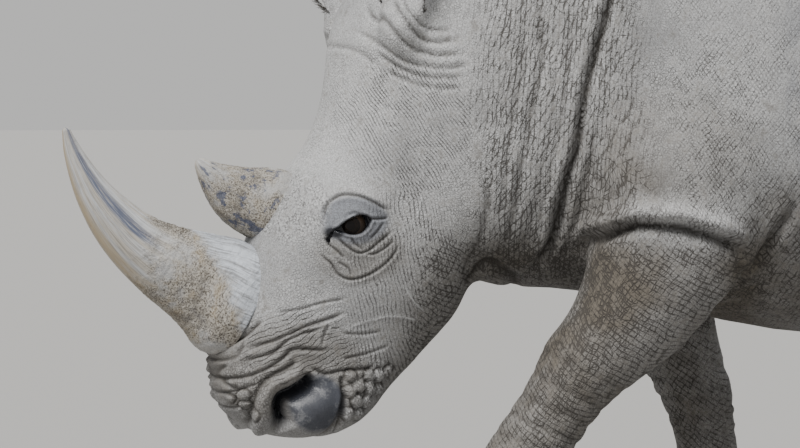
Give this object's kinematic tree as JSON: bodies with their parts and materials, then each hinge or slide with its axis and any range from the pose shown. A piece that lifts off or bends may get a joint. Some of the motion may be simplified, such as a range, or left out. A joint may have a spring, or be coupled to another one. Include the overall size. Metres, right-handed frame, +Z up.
{
  "type": "rhinoceros",
  "caption": "Life-size still model of an adult white rhinoceros, walking with its head held low, with two horns, upright ears and a tufted tail.",
  "frame": {"origin": "on the floor, under the middle of the animal's box", "axes": "+Z up; the animal faces -Y and its left side is towards +X"},
  "size_m": [1.004, 3.2395, 1.749],
  "materials": {
    "skin": "dusty grey-beige hide with fine cracks and folds, matt",
    "skin_dark": "darker brown-grey hide of the lower legs, deeply crazed, matt",
    "horn": "fibrous keratin, rough and brown at the base, polished and pale towards the tip with a dark streak",
    "nail": "worn dark keratin with upright grain",
    "eye": "wet dark brown eyeball",
    "hair": "coarse black-brown hair"
  },
  "bodies": {
    "root": {"head": "skin", "neck": "skin", "trunk": "skin", "tail": "skin", "tail_tassel": "hair", "ear_left": "skin", "ear_right": "skin", "eye_left": "eye", "eye_right": "eye", "horn_front": "horn", "horn_rear": "horn", "leg_front_left": "skin_dark", "foot_front_left": "skin_dark", "nail_front_left_1": "nail", "nail_front_left_2": "nail", "nail_front_left_3": "nail", "leg_front_right": "skin_dark", "foot_front_right": "skin_dark", "nail_front_right_1": "nail", "nail_front_right_2": "nail", "nail_front_right_3": "nail", "leg_hind_left": "skin_dark", "foot_hind_left": "skin_dark", "nail_hind_left_1": "nail", "nail_hind_left_2": "nail", "nail_hind_left_3": "nail", "leg_hind_right": "skin_dark", "foot_hind_right": "skin_dark", "nail_hind_right_1": "nail", "nail_hind_right_2": "nail", "nail_hind_right_3": "nail"}
  },
  "joints": []
}
